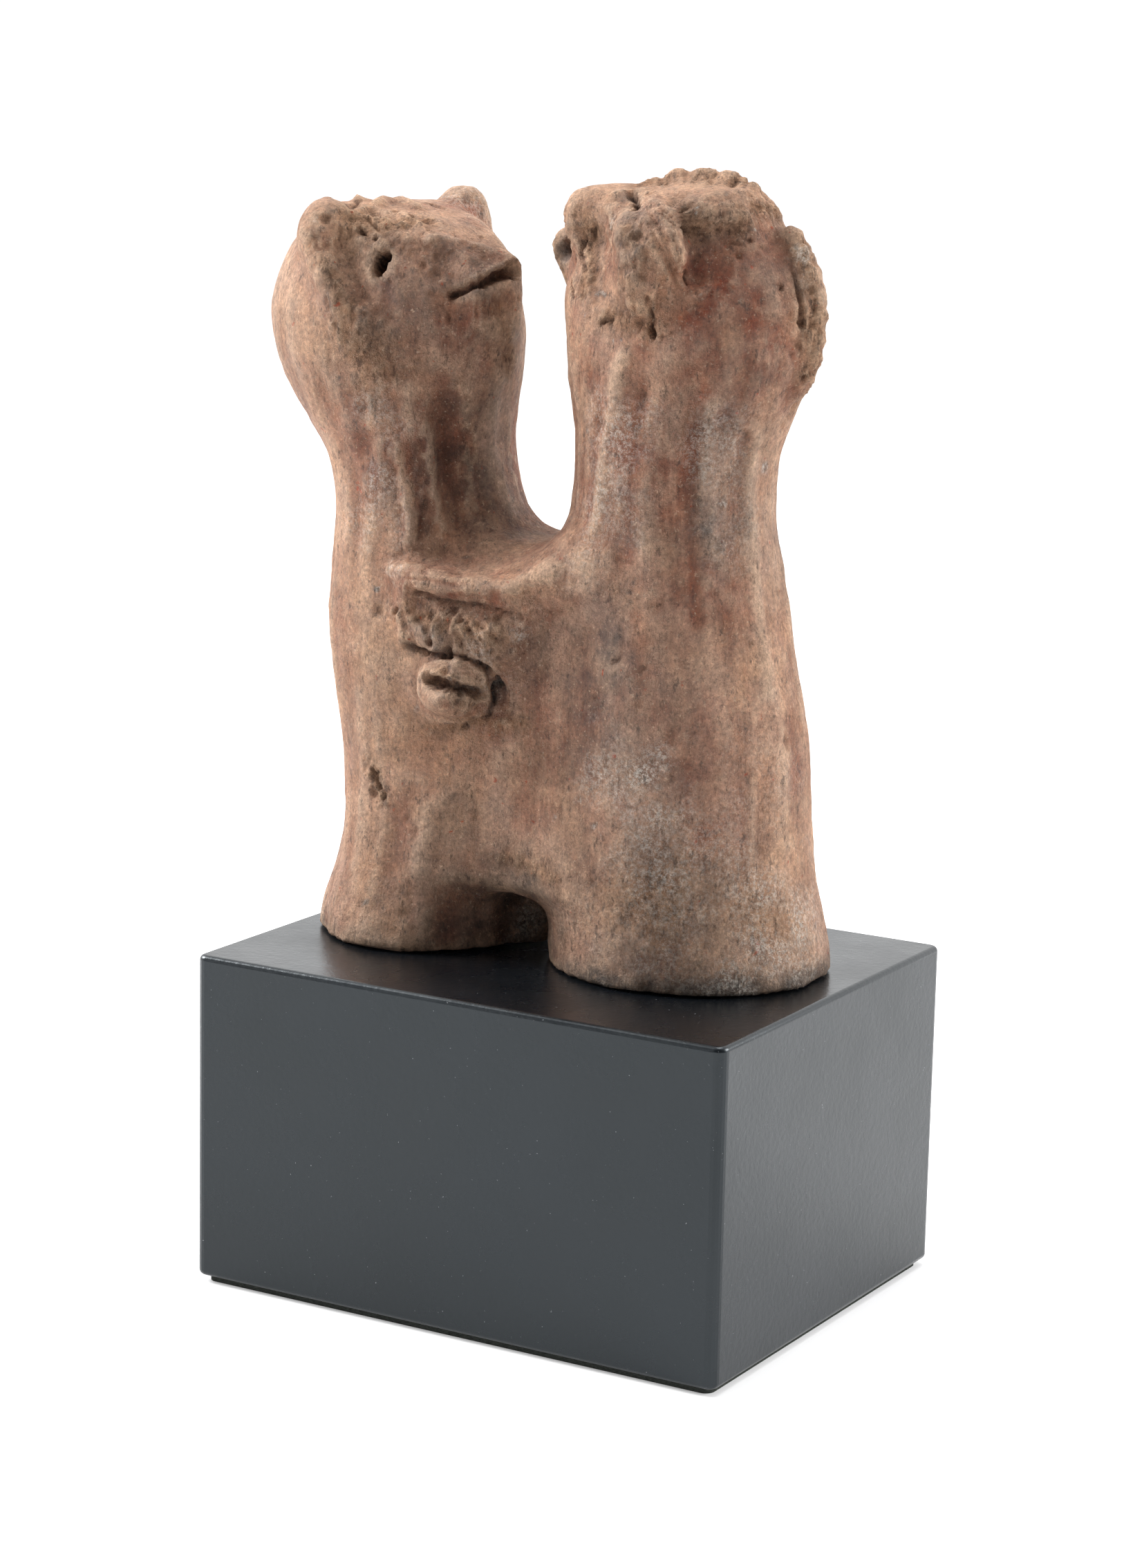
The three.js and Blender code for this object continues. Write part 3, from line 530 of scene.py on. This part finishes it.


# stains: pixel u and v, radius in mm, strength. The dark list is soot and dirt, and also painted shade in the throat,
# the arch, the slot, beside the button and under the arm and the cap; red is the iron-rich slip, the white list the
# burial crust with one painted glint on the rim of the near ear, ochre the sandy film
stains = {
    "sootAndShade": [
        (1035, 760, 5, 1.0), (1040, 820, 4, 0.8), (1050, 600, 7, 0.8), (1075, 660, 6, 0.6), (785, 940, 8, 0.6),
        (665, 590, 7, 0.8), (672, 680, 8, 0.8), (560, 460, 4, 0.5), (985, 310, 4, 0.4), (800, 1360, 5, 1.0),
        (730, 1300, 8, 0.9), (700, 1345, 7, 0.8), (770, 1290, 6, 0.9), (695, 600, 6, 0.5), (705, 670, 8, 0.8),
        (715, 735, 8, 0.8), (665, 1330, 8, 0.8), (745, 1340, 7, 1.0), (690, 1290, 8, 0.8), (785, 1320, 6, 1.0),
        (717, 985, 2.0, 1.0), (720, 1010, 2.0, 0.9), (640, 940, 2.5, 1.0), (600, 935, 2, 0.9), (660, 885, 4, 0.5),
        (870, 955, 9, 0.9), (640, 920, 6, 0.6), (680, 600, 8, 0.7), (660, 700, 9, 0.6), (1000, 1430, 8, 0.8),
        (1120, 1410, 5, 0.5), (900, 1420, 8, 0.7), (1025, 335, 6, 0.5), (822, 360, 3, 0.9), (560, 430, 4, 0.6),
        (740, 1300, 9, 0.8), (935, 1230, 6, 0.5), (1000, 1330, 9, 0.4), (920, 295, 3, 0.9), (680, 1230, 12, 0.35),
        (925, 760, 5, 0.6), (890, 970, 9, 0.6), (905, 1090, 10, 0.7), (935, 1030, 8, 0.5), (560, 430, 8, 0.4),
        (610, 465, 9, 0.4), (650, 520, 9, 0.5), (680, 400, 6, 0.6), (905, 350, 6, 0.8), (1130, 400, 5, 0.5),
        (1060, 520, 8, 0.3), (770, 730, 5, 0.7), (640, 992, 1.5, 1.0), (672, 1000, 1.5, 1.0), (570, 450, 9, 0.6),
        (600, 520, 8, 0.5), (685, 385, 5, 0.8), (690, 435, 5, 0.5), (1130, 325, 4, 0.7), (500, 1000, 8, 0.2),
        (850, 1050, 12, 0.3), (700, 420, 2.4, 0.9),
    ],
    "red": [
        (1050, 460, 12, 1.2), (1090, 500, 10, 1.2), (1020, 420, 8, 1.0), (1110, 520, 8, 1.0), (930, 600, 8, 0.7),
        (1010, 540, 9, 0.8), (1155, 440, 2.0, 1.0), (675, 460, 7, 0.7), (640, 500, 12, 0.6), (1130, 450, 5, 0.9),
        (670, 385, 5, 0.8), (640, 640, 4, 0.9), (650, 860, 4, 0.9), (720, 875, 5, 0.9), (603, 872, 3, 0.9),
        (620, 1055, 5, 0.7), (720, 1055, 4, 0.8), (890, 380, 4, 0.7), (720, 1045, 3, 1.0), (900, 1000, 16, 0.4),
        (630, 780, 8, 0.6), (950, 660, 9, 0.8), (560, 850, 4, 0.6), (1110, 360, 5, 0.6), (600, 560, 9, 0.8),
        (560, 640, 8, 0.7), (500, 600, 8, 0.3), (600, 470, 7, 0.6), (980, 860, 10, 0.5), (450, 400, 8, 0.4),
        (960, 540, 7, 0.6), (620, 1080, 8, 0.5), (580, 1280, 14, 0.35), (640, 1340, 9, 0.5), (1010, 1080, 12, 0.6),
        (1040, 1200, 8, 0.6), (780, 1010, 8, 0.4), (600, 700, 4, 0.7),
    ],
    "chalkAndGlint": [
        (1110, 1370, 9, 1.0), (1060, 1420, 8, 1.0), (1090, 1290, 8, 0.9), (930, 1130, 6, 1.0), (945, 1200, 6, 1.0),
        (950, 1280, 7, 0.9), (880, 1120, 5, 0.7), (960, 1380, 10, 0.5), (1150, 1330, 6, 0.9), (905, 620, 6, 0.9),
        (875, 720, 6, 0.6), (1165, 367, 1.6, 1.0), (1178, 405, 3, 0.35), (545, 610, 4, 0.7), (1020, 1260, 10, 0.6),
        (1120, 1150, 9, 0.4), (567, 826, 2, 1.0), (690, 940, 3, 0.8), (885, 640, 8, 0.6), (850, 760, 8, 0.6),
        # (457, 318) is a painted glint on the rim of the near ear; the rest is white crust
        (457, 318, 0.9, 1.0), (885, 325, 1.0, 1.0), (760, 1335, 4, 0.7), (1025, 640, 6, 0.6), (540, 740, 5, 0.6),
        (700, 1000, 4, 0.3), (1060, 760, 8, 0.3), (677, 930, 1.0, 1.0), (748, 918, 1.4, 1.0), (545, 700, 4, 0.8),
    ],
    "ochre": [
        (1060, 492, 2.6, 1.0), (1155, 800, 8, 0.8), (1162, 1000, 9, 0.8), (1172, 1180, 9, 0.8), (500, 850, 8, 0.7),
        (555, 1310, 8, 0.7), (530, 1240, 9, 0.8), (500, 325, 4, 1.0), (498, 465, 5, 0.8), (500, 655, 6, 0.9),
        (545, 780, 7, 0.8), (545, 960, 9, 0.9), (590, 1070, 8, 0.9), (650, 1110, 8, 0.8), (635, 1180, 7, 0.8),
        (635, 775, 3, 0.8), (965, 420, 5, 0.7), (1178, 400, 4, 1.0), (1180, 470, 4, 1.0), (1115, 640, 6, 0.9),
        (1120, 840, 8, 0.8), (1090, 960, 8, 0.7), (1100, 1140, 9, 0.6), (1125, 1240, 8, 0.8), (750, 868, 4, 0.9),
        (1140, 1330, 7, 0.8), (490, 780, 8, 0.6), (505, 1000, 9, 0.7), (515, 1150, 8, 0.6), (430, 450, 9, 0.7),
        (1185, 420, 5, 0.9), (730, 330, 5, 0.6), (630, 400, 7, 0.5), (925, 440, 2.6, 1.0), (445, 380, 8, 0.6),
        (1150, 700, 10, 0.5), (1180, 460, 5, 0.8), (1020, 262, 9, 0.9), (870, 285, 8, 0.8), (640, 320, 8, 0.6),
        (1150, 900, 12, 0.4), (520, 1200, 10, 0.4), (1100, 270, 6, 0.8), (480, 900, 8, 0.4), (475, 400, 4, 0.6),
        (520, 320, 7, 0.6), (850, 470, 8, 0.5), (500, 500, 8, 0.5), (700, 840, 4, 0.6), (500, 1080, 8, 0.4),
    ],
}

eyeShade = {"line": [(545, 391), (554, 374)], "radius": 1.6}  # painted shade inside the eye
footDarkening = {"height": 4.6, "fade": 3.6, "left": 0.35, "right": 0.85}  # darker towards the bottom: mm above the block; strength from foot to foot
hidden = {"from": 4, "spots": 9, "radius": (6, 15), "strength": 0.7}  # the side not seen, from this y in mm


def writeMask(name, values):
    layer = figure.data.attributes.new(name, "FLOAT", "POINT")
    layer.data.foreach_set("value", np.clip(values, 0, 1).astype(np.float32))


even = skin.points
for _ in range(14):
    even = even + (skin.averaged(even) - even) * 0.6
relief = np.einsum("ij,ij->i", skin.points - even, skin.normals)
# painted shade: the hollows of the surface are darkened
writeMask("hollowShade", softStep(-relief / 0.7))
writeMask("proud", softStep(relief / 0.3))
# painted shade: the deepest recesses and the inside of the eye go near black
inEye = skin.near(eyeShade["line"], eyeShade["radius"], 0.15)
writeMask("deepShade", np.maximum(softStep((-relief - 0.5) / 0.9), softStep(inEye * 1.6)))
writeMask("rough", rough)
# painted highlight on the raised burnish flats
writeMask("burnishHighlight", stroke)
writeMask("low", -stroke)
behind = np.flatnonzero(skin.points[:, 1] > hidden["from"])
for name, spots in stains.items():
    mask = np.zeros(len(skin.points))
    for centre in rng.choice(behind, hidden["spots"], replace=False):
        gap = np.linalg.norm(skin.points - skin.points[centre], axis=1)
        mask = np.maximum(mask, hidden["strength"] * softStep(1 - gap / rng.uniform(*hidden["radius"])))
    for u, v, radius, strength in spots:
        mask = np.maximum(mask, strength * skin.near([(u, v)], radius * 1.5, 0.7))
    if name == "sootAndShade":  # darker towards the edge that stands on the block, most on the right foot
        footDarkness = footDarkening["left"] + footDarkening["right"] * softStep(skin.points[:, 0] / 12)
        lowDown = softStep((figureBase + footDarkening["height"] - skin.points[:, 2]) / footDarkening["fade"])
        mask = np.maximum(mask, footDarkness * lowDown)
    writeMask(name, mask * (0.75 + 0.4 * cloud(skin.points, 2.5, 63, 3)))
for face in figure.data.polygons:
    face.use_smooth = True
print("stains laid, triangles", sum(len(face.vertices) - 2 for face in figure.data.polygons))


# plinth: sprayed block with soft edges, and the felt under it
block = {"corner": 1.6, "edge": 0.8, "segments": 5}


def makeBlock():
    low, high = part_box("plinth_block")
    work = bmesh.new()
    bmesh.ops.create_cube(work, size=1)
    bmesh.ops.scale(work, vec=high - low, verts=work.verts)
    bmesh.ops.translate(work, vec=(low + high) / 2, verts=work.verts)
    upright = [edge for edge in work.edges if abs(edge.verts[0].co.z - edge.verts[1].co.z) > 1 * mm]
    bmesh.ops.bevel(work, geom=upright, offset=block["corner"] * mm, offset_type="OFFSET", affect="EDGES",
                    segments=block["segments"], profile=0.5, material=-1)
    level = [edge for edge in work.edges if all(abs(vert.co.z - edge.verts[0].co.z) < 1e-6 for vert in edge.verts)]
    bmesh.ops.bevel(work, geom=level, offset=block["edge"] * mm, offset_type="OFFSET", affect="EDGES",
                    segments=block["segments"], profile=0.5, material=-1)
    mesh = bpy.data.meshes.new("plinth_block_painted")
    work.to_mesh(mesh)
    work.free()
    for face in mesh.polygons:
        face.use_smooth = face.area < 20 * mm * mm
    return linkMesh("plinth_block_painted", mesh)


plinth = makeBlock()
print("block made")


# materials
def colour(code):
    parts = [int(code[i:i + 2], 16) / 255 for i in (1, 3, 5)]
    linear = [part / 12.92 if part <= 0.04045 else ((part + 0.055) / 1.055) ** 2.4 for part in parts]
    return (*linear, 1)


# Adds a node; settings and links are named by attribute, or by socket name or number
def addNode(tree, kind, settings=None, links=None):
    node = tree.nodes.new(kind)
    for name, value in (settings or {}).items():
        if isinstance(name, str) and hasattr(node, name):
            setattr(node, name, value)
        else:
            node.inputs[name].default_value = value
    for name, source in (links or {}).items():
        tree.links.new(source, node.inputs[name])
    return node


def startMaterial(name):
    material = bpy.data.materials.new(name)
    material.use_nodes = True
    tree = material.node_tree
    shader = tree.nodes["Principled BSDF"]
    place = addNode(tree, "ShaderNodeTexCoord").outputs["Object"]
    return material, tree, shader, place


# Cloudy noise of a real size in mm: "shows" is the part of it that counts, "gives" what that turns into
def pattern(tree, place, size, detail, roughness, shows=(0, 1), gives=(0, 1), stretch=(1, 1, 1), offset=(0, 0, 0)):
    mapping = addNode(tree, "ShaderNodeMapping", {"Scale": stretch, "Location": offset}, {"Vector": place})
    settings = {"Scale": 1000 / size, "Detail": detail, "Roughness": roughness}
    noise = addNode(tree, "ShaderNodeTexNoise", settings, {"Vector": mapping.outputs[0]})
    ends = {"From Min": shows[0], "From Max": shows[1], "To Min": gives[0], "To Max": gives[1]}
    return addNode(tree, "ShaderNodeMapRange", ends, {"Value": noise.outputs["Fac"]}).outputs[0]


# Lays colours over the ground; each covers where its mask and its pattern are both high, as far as its amount
def layColours(tree, place, finish):
    base = None
    for layer in finish["layers"]:
        parts = []
        if "mask" in layer:
            mask = addNode(tree, "ShaderNodeAttribute", {"attribute_name": layer["mask"]})
            ends = dict(zip(("From Min", "From Max"), layer.get("maskShows", (0, 1))))
            parts.append(addNode(tree, "ShaderNodeMapRange", ends, {"Value": mask.outputs["Fac"]}).outputs[0])
        if "pattern" in layer:
            parts.append(pattern(tree, place, **layer["pattern"]))
        cover = addNode(tree, "ShaderNodeMath", {"operation": "MULTIPLY", 1: layer["amount"]}, {0: parts[0]})
        for part in parts[1:]:
            cover = addNode(tree, "ShaderNodeMath", {"operation": "MULTIPLY"}, {0: cover.outputs[0], 1: part})
        settings = {"data_type": "RGBA", 6: colour(finish["ground"]), 7: colour(layer["colour"])}
        links = {0: cover.outputs[0]}
        if base is not None:
            links[6] = base
        base = addNode(tree, "ShaderNodeMix", settings, links).outputs[2]
    return base


# Bumps over each other, each with its strength and its height in mm; a mask makes one stronger from place to place
def layRelief(tree, place, shader, relief):
    links = {}
    for layer in relief:
        links["Height"] = pattern(tree, place, **layer["pattern"])
        settings = {"Distance": layer["height"] * mm}
        if "mask" in layer:
            mask = addNode(tree, "ShaderNodeAttribute", {"attribute_name": layer["mask"]})
            ends = dict(zip(("To Min", "To Max"), layer["strength"]))
            strength = addNode(tree, "ShaderNodeMapRange", ends, {"Value": mask.outputs["Fac"]})
            links["Strength"] = strength.outputs[0]
        else:
            settings["Strength"] = layer["strength"]
        bump = addNode(tree, "ShaderNodeBump", settings, links)
        links = {"Normal": bump.outputs[0]}
    tree.links.new(links["Normal"], shader.inputs["Normal"])


# Low-fired terracotta, modelled by hand and burnished: matt, blotched brown, paler where it is worn
cloudy = {"size": 2.2, "detail": 8, "roughness": 0.75, "shows": (0.28, 0.46)}  # breaks up the stains
terracotta = {
    "ground": "#7a513d",
    "layers": [
        {"colour": "#c09b81", "amount": 1,  # blotches
         "pattern": {"size": 14, "detail": 8, "roughness": 0.72, "shows": (0.38, 0.62)}},
        {"colour": "#935e4b", "amount": 0.55,  # reddish patches
         "pattern": {"size": 5, "detail": 6, "roughness": 0.68, "shows": (0.48, 0.66), "stretch": (1, 1, 0.5),
                     "offset": (3, 1, 2)}},
        {"colour": "#c29c83", "amount": 0.45,  # upright streaks of the smoothing tool
         "pattern": {"size": 1.6, "detail": 5, "roughness": 0.65, "shows": (0.42, 0.66), "stretch": (1, 1, 0.1)}},
        {"colour": "#7c4c3a", "amount": 0.5, "mask": "low"},
        # painted highlight on the burnish flats
        {"colour": "#c4a794", "amount": 0.5, "mask": "burnishHighlight"},
        {"colour": "#75351f", "amount": 0.95, "mask": "red", "pattern": cloudy},
        {"colour": "#c49d80", "amount": 0.75, "mask": "ochre", "pattern": cloudy},
        {"colour": "#a8866c", "amount": 0.45, "mask": "rough"},
        {"colour": "#d0b298", "amount": 0.5, "mask": "proud"},
        # soot and dirt, and painted shade in the throat, the arch, the slot and under the arm and the cap
        {"colour": "#332b27", "amount": 0.85, "mask": "sootAndShade", "pattern": cloudy},
        # painted shade in the hollows
        {"colour": "#4d3326", "amount": 0.65, "mask": "hollowShade"},
        {"colour": "#3f2a1f", "amount": 0.55, "mask": "rough", "maskShows": (0.1, 0.7),  # fissures
         "pattern": {"size": 1.1, "detail": 4, "roughness": 0.7, "shows": (0.55, 0.62), "stretch": (1, 1, 0.4),
                     "offset": (2, 5, 1)}},
        # painted shade, near black, in the deepest recesses and the eye
        {"colour": "#17100c", "amount": 0.9, "mask": "deepShade"},
        {"colour": "#a34a33", "amount": 0.7,  # red specks
         "pattern": {"size": 1.7, "detail": 3, "roughness": 0.6, "shows": (0.69, 0.74), "offset": (4, 9, 2)}},
        # white crust, with one painted glint on the rim of the near ear
        {"colour": "#ddd4c9", "amount": 0.75, "mask": "chalkAndGlint",
         "pattern": {"size": 0.7, "detail": 6, "roughness": 0.9, "shows": (0.47, 0.56)}},
        {"colour": "#d8bfa5", "amount": 0.4,  # pale specks
         "pattern": {"size": 0.6, "detail": 3, "roughness": 0.7, "shows": (0.6, 0.7)}},
        {"colour": "#35241c", "amount": 0.65,  # dark specks
         "pattern": {"size": 1.0, "detail": 5, "roughness": 0.75, "shows": (0.57, 0.66), "stretch": (1, 1, 0.45),
                     "offset": (7, 7, 7)}},
    ],
    "saturation": 1.09,
    "brightness": [  # grain of the coarse clay, and a softer mottle
        {"size": 0.8, "detail": 8, "roughness": 0.85, "shows": (0.32, 0.68), "gives": (0.46, 1.66)},
        {"size": 3.4, "detail": 8, "roughness": 0.8, "shows": (0.36, 0.64), "gives": (0.82, 1.2),
         "stretch": (1, 1, 0.6), "offset": (8, 3, 5)},
    ],
    "sheen": {"size": 5, "detail": 4, "roughness": 0.6, "shows": (0.3, 0.7), "gives": (0.55, 0.85)},
    "relief": [  # lines of the smoothing tool, bumps of the coarse clay and grit
        {"height": 1.2, "strength": 0.8,
         "pattern": {"size": 1.0, "detail": 4, "roughness": 0.65, "stretch": (1, 1, 0.12)}},
        {"height": 2.6, "strength": (0.55, 0.8), "mask": "rough",
         "pattern": {"size": 1.3, "detail": 6, "roughness": 0.75}},
        {"height": 0.9, "strength": 0.8, "pattern": {"size": 0.4, "detail": 4, "roughness": 0.75}},
    ],
}


def makeTerracotta():
    material, tree, shader, place = startMaterial("terracotta_hand_burnished")
    base = layColours(tree, place, terracotta)
    grain, mottle = (pattern(tree, place, **part) for part in terracotta["brightness"])
    brightness = addNode(tree, "ShaderNodeMath", {"operation": "MULTIPLY"}, {0: grain, 1: mottle})
    settings = {"Saturation": terracotta["saturation"]}
    tinted = addNode(tree, "ShaderNodeHueSaturation", settings, {"Color": base, "Value": brightness.outputs[0]})
    tree.links.new(tinted.outputs[0], shader.inputs["Base Color"])
    sheen = pattern(tree, place, **terracotta["sheen"])
    rough = addNode(tree, "ShaderNodeAttribute", {"attribute_name": "rough"})
    worn = addNode(tree, "ShaderNodeMath", {"operation": "MAXIMUM"}, {0: sheen, 1: rough.outputs["Fac"]})
    tree.links.new(worn.outputs[0], shader.inputs["Roughness"])
    layRelief(tree, place, shader, terracotta["relief"])
    return material


# Wood sprayed with satin black paint: fine orange peel, soft reflections, a little dust
paint = {
    "ground": "#06080b",
    "layers": [
        {"colour": "#0b0f14", "amount": 1,
         "pattern": {"size": 30, "detail": 4, "roughness": 0.6, "shows": (0.3, 0.7)}},
        {"colour": "#b9bcc0", "amount": 0.5,  # dust
         "pattern": {"size": 0.7, "detail": 3, "roughness": 0.8, "shows": (0.7, 0.74)}},
    ],
    "gloss": {"size": 12, "detail": 4, "roughness": 0.6, "shows": (0.3, 0.7), "gives": (0.22, 0.32)},
    "specular": 0.48,
    "tint": (0.86, 0.95, 1, 1),  # cool reflections
    "relief": [{"height": 0.12, "strength": 0.3, "pattern": {"size": 0.9, "detail": 2, "roughness": 0.5}}],
}


def makeBlackPaint():
    material, tree, shader, place = startMaterial("wood_sprayed_satin_black")
    tree.links.new(layColours(tree, place, paint), shader.inputs["Base Color"])
    tree.links.new(pattern(tree, place, **paint["gloss"]), shader.inputs["Roughness"])
    shader.inputs["Specular IOR Level"].default_value = paint["specular"]
    shader.inputs["Specular Tint"].default_value = paint["tint"]
    layRelief(tree, place, shader, paint["relief"])
    return material


# Pressed wool felt, dyed dark: no gloss, fine fibres
felt = {
    "ground": "#202220",
    "layers": [
        {"colour": "#4a4d49", "amount": 1,
         "pattern": {"size": 0.5, "detail": 4, "roughness": 0.8, "shows": (0.3, 0.7), "stretch": (1, 1, 3)}},
    ],
    "roughness": 1.0,
    "specular": 0.1,
}


def makeFelt():
    material, tree, shader, place = startMaterial("felt_pressed_dark")
    tree.links.new(layColours(tree, place, felt), shader.inputs["Base Color"])
    shader.inputs["Roughness"].default_value = felt["roughness"]
    shader.inputs["Specular IOR Level"].default_value = felt["specular"]
    return material


# Studio paper, matt white; its glow stands for light from below, so that shadows stay faint
paper = {
    "ground": "#c9c9ca",
    "layers": [
        {"colour": "#cfcfcf", "amount": 1,
         "pattern": {"size": 60, "detail": 2, "roughness": 0.5, "shows": (0.3, 0.7)}},
    ],
    "roughness": 0.9,
    "glow": 0.33,
}


def makePaper():
    material, tree, shader, place = startMaterial("paper_matt_white")
    tree.links.new(layColours(tree, place, paper), shader.inputs["Base Color"])
    shader.inputs["Roughness"].default_value = paper["roughness"]
    shader.inputs["Emission Color"].default_value = (1, 1, 1, 1)
    shader.inputs["Emission Strength"].default_value = paper["glow"]
    return material


figure.data.materials.append(makeTerracotta())
plinth.data.materials.append(makeBlackPaint())
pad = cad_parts["felt_pad"]
pad.data.materials.clear()
pad.data.materials.append(makeFelt())
print("materials made")

for piece, node, slot in (
    (figure, "double_figure", "terracotta"),
    (plinth, "plinth_block", "black_painted_wood"),
):
    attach(piece, "root")
    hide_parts(node)


# studio: white paper floor, lit paper behind, soft lights on the left, above and behind on the right
studio = {
    "floorHalf": 60,  # m
    "paperSide": (-0.5, 0.85, 0.0),  # towards the lit paper behind the piece
    # dim room in front, bright paper round the sides and behind
    "world": {"From Min": -0.7, "From Max": 0.2, "To Min": 0.2, "To Max": 1.55},
    "lights": [
        {"name": "keyLeft", "place": (-0.9, -0.2, 0.7), "size": 0.45, "power": 19},
        {"name": "topSoft", "place": (0.05, 0.1, 1.2), "size": 0.6, "power": 7},
        {"name": "rimRight", "place": (0.9, 0.55, 0.5), "size": 0.5, "power": 10},
    ],
    "aim": (0, 0, 0.1),
}


def makeStudio():
    work = bmesh.new()
    bmesh.ops.create_grid(work, x_segments=1, y_segments=1, size=studio["floorHalf"])
    mesh = bpy.data.meshes.new("floor")
    work.to_mesh(mesh)
    work.free()
    floor = linkMesh("floor", mesh)
    floor.data.materials.append(makePaper())
    world = bpy.data.worlds.new("studio")
    world.use_nodes = True
    tree = world.node_tree
    direction = addNode(tree, "ShaderNodeTexCoord").outputs["Generated"]
    settings = {"operation": "DOT_PRODUCT", 1: studio["paperSide"]}
    ahead = addNode(tree, "ShaderNodeVectorMath", settings, {0: direction})
    glow = addNode(tree, "ShaderNodeMapRange", studio["world"], {"Value": ahead.outputs["Value"]})
    tree.links.new(glow.outputs[0], tree.nodes["Background"].inputs["Strength"])
    tree.nodes["Background"].inputs["Color"].default_value = (1, 1, 1, 1)
    scene.world = world
    for lamp in studio["lights"]:
        data = bpy.data.lights.new(lamp["name"], "AREA")
        data.size = lamp["size"]
        data.energy = lamp["power"]
        light = bpy.data.objects.new(lamp["name"], data)
        light.location = lamp["place"]
        aim = Vector(studio["aim"]) - light.location
        light.rotation_euler = aim.to_track_quat("-Z", "Y").to_euler()
        scene.collection.objects.link(light)


makeStudio()
scene.view_settings.view_transform = "Standard"
print("studio lit")
